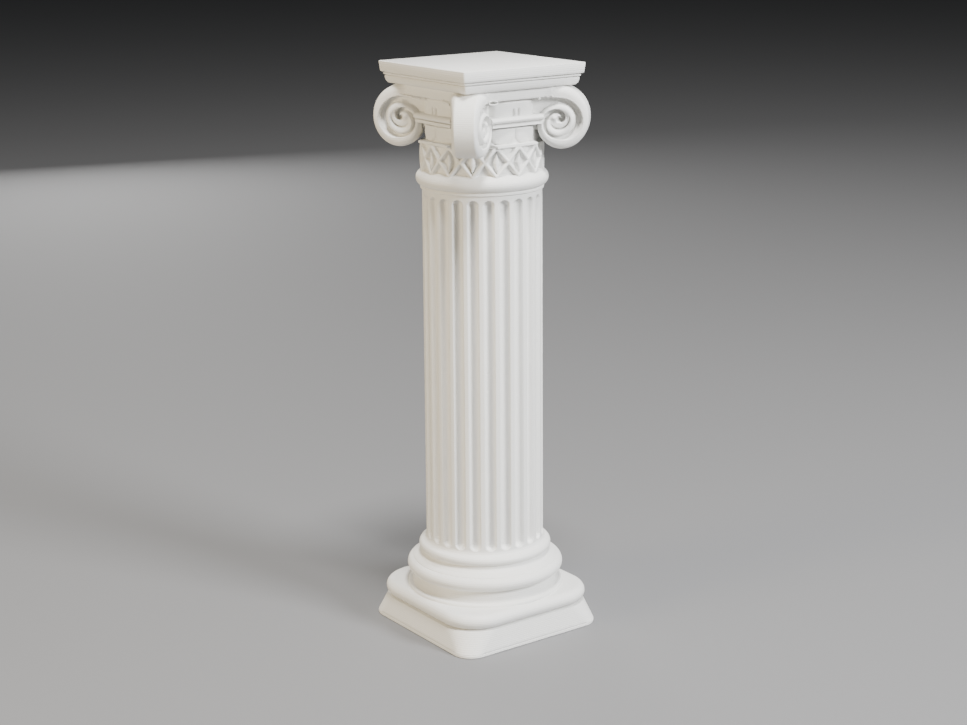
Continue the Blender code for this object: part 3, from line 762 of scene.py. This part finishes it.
def make_volutes(material):
    """A scroll standing on the diagonal, and its copies on the other three."""
    turns = 150
    rings = 60
    crease = 50.0
    outline = volute_outline(turns)
    points = []
    # Rings of points, closer together towards the rim
    stations = 1 - (1 - np.linspace(0, 1, rings + 1)[1:]) ** 1.25
    faces = []
    for hand in (-1, 1):
        start = len(points)
        height = scroll_half_thickness(SCROLL_REACH, SCROLL_HEIGHT)
        points.append((SCROLL_REACH, hand * height, SCROLL_HEIGHT))
        for share in stations:
            for reach, direction in outline:
                out = SCROLL_REACH + reach * share * direction[0]
                up = SCROLL_HEIGHT + reach * share * direction[1]
                points.append((out, hand * scroll_half_thickness(out, up), up))
        ring_faces = [tuple(start + 1 + k for k in face) for face in grid_faces(rings, turns, True)]
        fan = [(start, start + 1 + j, start + 1 + (j + 1) % turns) for j in range(turns)]
        if hand > 0:
            ring_faces = [face[::-1] for face in ring_faces]
            fan = [face[::-1] for face in fan]
        faces += ring_faces + fan
    # The band round the edge joins the two sides
    first = 1 + (rings - 1) * turns
    second = first + 1 + rings * turns
    for j in range(turns):
        k = (j + 1) % turns
        faces.append((first + j, first + k, second + k, second + j)[::-1])
    turned = Matrix.Rotation(math.pi / 4, 3, "Z")
    points = [turned @ Vector(point) for point in points]
    volute = make_piece("volutes", points, faces, crease)
    run_tree(volute, round_copies_tree(material), {"Copies": 4, "Merge": 0.000001})
    volute.data.set_sharp_from_angle(angle=math.radians(crease))
    return volute


# Marks of the print


def tube(path, radius, closed=False):
    """Points and quads of a thin round strand along a path."""
    path = [Vector(point) for point in path]
    count = len(path)
    points = []
    for i, place in enumerate(path):
        before = path[i - 1] if i or closed else path[0]
        after = path[(i + 1) % count] if i < count - 1 or closed else path[-1]
        along = (after - before).normalized()
        side = along.cross(Vector((0.0, 0.0, 1.0))).normalized()
        up = side.cross(along)
        size = radius if closed or 0 < i < count - 1 else 0.35 * radius
        for k in range(8):
            angle = math.pi / 4 * k
            points.append(place + size * (math.cos(angle) * side + math.sin(angle) * up))
    faces = grid_faces(count, 8, True)
    if closed:
        last = (count - 1) * 8
        faces += [(last + k, last + (k + 1) % 8, (k + 1) % 8, k) for k in range(8)]
    return points, faces


def on_face(face, along, z, lift=0.0):
    """A place on the canalis: face 0 looks along -Y and face 1 along -X."""
    out = capital_face_height(along, CANALIS_FOOT + 0.6) + lift
    return (along, -out, z) if face == 0 else (-out, -along, z)


def drop(centre, radius):
    """Points and quads of a small round blob."""
    rings = 7
    points = []
    for i in range(rings):
        tilt = math.pi * (i / (rings - 1) - 0.5) * 0.98
        for k in range(10):
            angle = 2 * math.pi * k / 10
            flat = radius * math.cos(tilt)
            offset = Vector((flat * math.cos(angle), flat * math.sin(angle), radius * math.sin(tilt)))
            points.append(Vector(centre) + offset)
    return points, grid_faces(rings, 10, True)


def make_print_marks():
    """Loose strands and specks under the canalis, and the rough underside of one volute."""
    shapes = []
    # Two loose strands on the -X face: (along the face, height)
    strand = curve_through(
        [(-9.5, 113.5), (-8.0, 113.35), (-6.4, 113.15), (-4.8, 113.0), (-3.0, 113.12)], 6
    )
    shapes.append(tube([on_face(1, along, z, 0.1) for along, z in strand], 0.2))
    strand = curve_through([(4.4, 113.42), (5.2, 113.2), (6.2, 113.15), (7.2, 112.9)], 6)
    shapes.append(tube([on_face(1, along, z, 0.05) for along, z in strand], 0.26))
    # A flat loop and four specks on the -Y face
    loop = []
    for k in range(24):
        angle = 2 * math.pi * k / 24
        along = -6.6 + 1.3 * math.cos(angle)
        z = 113.3 + 0.4 * math.sin(angle) - 0.1 * math.cos(angle)
        loop.append(on_face(0, along, z, 0.12))
    shapes.append(tube(loop, 0.17, True))
    specks = ((5.0, 113.25, 0.26), (6.5, 113.62, 0.2), (7.0, 113.5, 0.15), (7.9, 113.58, 0.2))
    for along, z, radius in specks:
        shapes.append(drop(on_face(0, along, z, 0.02), radius))
    # Drops under the volute between the +X and -Y faces
    corner = Matrix.Rotation(-math.pi / 4, 3, "Z")
    for i in range(22):
        quarters = 1.95 + 0.5 * i / 21
        across = 1.5 * math.sin(5.3 * i)
        reach = table(SCROLL_RIM, quarters) - 0.28 - 0.08 * math.cos(3.1 * i)
        angle = quarters * QUARTER
        place = (SCROLL_REACH + reach * math.sin(angle), across, SCROLL_HEIGHT + reach * math.cos(angle))
        shapes.append(drop(corner @ Vector(place), 0.26 + 0.08 * math.sin(7.7 * i)))
    points = []
    faces = []
    for more, quads in shapes:
        faces += [tuple(len(points) + k for k in quad) for quad in quads]
        points += more
    return make_piece("print_marks", points, faces, 80.0)


# Setting


def make_floor():
    """A plain table top."""
    mesh = bpy.data.meshes.new("floor")
    corners = [(x * FLOOR_HALF, y * FLOOR_HALF, 0) for x, y in ((-1, -1), (1, -1), (1, 1), (-1, 1))]
    mesh.from_pydata(corners, [], [(0, 1, 2, 3)])
    floor = bpy.data.objects.new("floor", mesh)
    bpy.context.scene.collection.objects.link(floor)
    material = bpy.data.materials.new("pale_floor")
    material.use_nodes = True
    shader = material.node_tree.nodes["Principled BSDF"]
    shader.inputs["Base Color"].default_value = (0.2, 0.2, 0.205, 1.0)
    shader.inputs["Roughness"].default_value = 0.8
    floor.data.materials.append(material)
    return floor


def area_light(name, place, target, size, power, color):
    """A round soft light, turned to its target."""
    data = bpy.data.lights.new(name, "AREA")
    data.shape = "DISK"
    data.size = size
    data.energy = power
    data.color = color
    light = bpy.data.objects.new(name, data)
    light.location = place
    light.rotation_euler = (Vector(target) - Vector(place)).to_track_quat("-Z", "Y").to_euler()
    bpy.context.scene.collection.objects.link(light)


def light_studio():
    """Cool light from the camera's right, warm from its left, the rest from above and behind."""
    middle = (0.0, 0.0, 0.07)
    turn = Matrix.Rotation(VIEW_TURN, 3, "Z")
    key = turn @ Vector((0.46, -0.32, 0.36))
    front = turn @ Vector((0.06, -0.24, 0.7))
    warm = turn @ Vector((-0.5, -0.3, 0.16))
    behind = turn @ Vector((-0.22, 0.6, 0.2))
    area_light("cool_key", key, middle, 0.2, 7.5, (0.97, 0.985, 1.0))
    area_light("high_light", front, middle, 0.16, 8.0, (1.0, 0.99, 0.97))
    area_light("warm_fill", warm, middle, 0.25, 3.0, (1.0, 0.83, 0.56))
    area_light("back_fill", behind, middle, 0.3, 1.3, (1.0, 0.99, 0.97))
    world = bpy.data.worlds.new("studio")
    bpy.context.scene.world = world
    world.use_nodes = True
    background = world.node_tree.nodes["Background"]
    background.inputs["Color"].default_value = (0.8, 0.84, 0.88, 1.0)
    background.inputs["Strength"].default_value = 0.05


def place_camera():
    """The photograph's view: just right of one corner, a little above the capital, pitched down."""
    pitch = math.radians(14.95)
    roll = math.radians(0.44)
    away = 0.38018
    height = 0.15861
    forward = Vector((0.0, math.cos(pitch), -math.sin(pitch)))
    right = Vector((1.0, 0.0, 0.0))
    down = forward.cross(right)
    turned_right = math.cos(roll) * right + math.sin(roll) * down
    turned_down = -math.sin(roll) * right + math.cos(roll) * down
    matrix = Matrix.Identity(4)
    for column, axis in enumerate((turned_right, -turned_down, -forward)):
        for row in range(3):
            matrix[row][column] = axis[row]
    matrix.translation = (0.0, -away, height)
    data = bpy.data.cameras.new("camera")
    data.sensor_width = 36.0
    data.lens = 69.66
    data.clip_start = 0.01
    camera = bpy.data.objects.new("camera", data)
    camera.matrix_world = Matrix.Rotation(VIEW_TURN, 4, "Z") @ matrix
    bpy.context.scene.collection.objects.link(camera)
    bpy.context.scene.camera = camera


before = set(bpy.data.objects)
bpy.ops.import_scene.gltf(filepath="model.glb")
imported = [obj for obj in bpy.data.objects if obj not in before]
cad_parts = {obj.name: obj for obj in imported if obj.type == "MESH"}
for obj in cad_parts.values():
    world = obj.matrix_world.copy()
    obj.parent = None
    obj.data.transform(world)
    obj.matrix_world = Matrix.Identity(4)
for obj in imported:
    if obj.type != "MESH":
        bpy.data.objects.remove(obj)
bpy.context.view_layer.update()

white = printed_plastic("white_print", (0.79, 0.785, 0.76), 0.35)
pieces = [
    make_plinth(),
    make_base_mouldings(),
    make_shaft(white),
    make_neck(),
    make_lattice(white),
    make_capital_core(),
    make_capital_faces(white),
    make_abacus(),
    make_volutes(white),
    make_print_marks(),
]
for piece in pieces:
    piece.data.materials.clear()
    piece.data.materials.append(white)
    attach(piece, "root")
    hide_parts(NODE)

make_floor()
light_studio()
place_camera()
